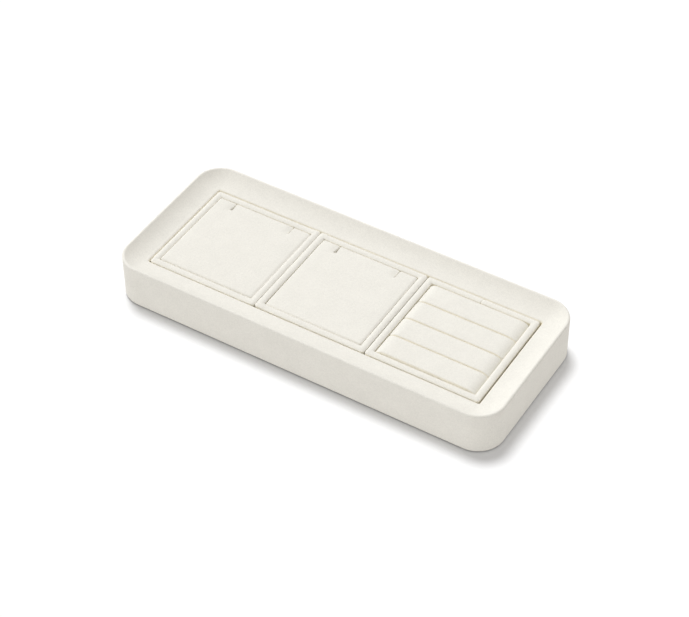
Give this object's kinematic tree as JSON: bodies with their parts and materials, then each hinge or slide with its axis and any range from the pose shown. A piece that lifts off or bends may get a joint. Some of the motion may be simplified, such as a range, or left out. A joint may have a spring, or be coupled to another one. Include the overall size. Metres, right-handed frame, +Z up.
{
  "type": "jewelry display tray",
  "caption": "Low suede-wrapped jewellery display tray with a coved rim and rounded corners; square drop-in inserts hold pendants on slit pads and rings between soft rolls.",
  "frame": {"origin": "middle of the underside, on the surface that the tray stands on", "axes": "+X along the tray towards the ring insert, +Y to the back edge, where the chain slits are, +Z up"},
  "size_m": [0.24, 0.1, 0.027],
  "materials": {
    "suede": "matte",
    "felt": "matte",
    "board": "matte",
    "card": "matte",
    "foam": "matte"
  },
  "bodies": {
    "tray": {"tray_core": "board", "tray_cover": "suede", "base_board": "board", "floor_lining": "suede", "base_felt": "felt"},
    "left_insert": {"left_frame_core": "board", "left_frame_cover": "suede", "left_insert_base": "card"},
    "left_pad": {"left_pad_board": "card", "left_pad_foam": "foam", "left_pad_cover": "suede"},
    "middle_insert": {"middle_frame_core": "board", "middle_frame_cover": "suede", "middle_insert_base": "card"},
    "middle_pad": {"middle_pad_board": "card", "middle_pad_foam": "foam", "middle_pad_cover": "suede"},
    "ring_insert": {"ring_frame_core": "board", "ring_frame_cover": "suede", "ring_insert_base": "card", "ring_roll_board": "card", "ring_roll_foam_1": "foam", "ring_roll_foam_2": "foam", "ring_roll_foam_3": "foam", "ring_roll_foam_4": "foam", "ring_roll_cover_1": "suede", "ring_roll_cover_2": "suede", "ring_roll_cover_3": "suede", "ring_roll_cover_4": "suede"}
  },
  "joints": [
    {"name": "left_insert_lift", "type": "slide", "parent": "tray", "child": "left_insert", "axis": [0, 0, 1], "range_m": [0, 0.03]},
    {"name": "left_pad_lift", "type": "slide", "parent": "left_insert", "child": "left_pad", "axis": [0, 0, 1], "range_m": [0, 0.02]},
    {"name": "middle_insert_lift", "type": "slide", "parent": "tray", "child": "middle_insert", "axis": [0, 0, 1], "range_m": [0, 0.03]},
    {"name": "middle_pad_lift", "type": "slide", "parent": "middle_insert", "child": "middle_pad", "axis": [0, 0, 1], "range_m": [0, 0.02]},
    {"name": "ring_insert_lift", "type": "slide", "parent": "tray", "child": "ring_insert", "axis": [0, 0, 1], "range_m": [0, 0.03]}
  ]
}
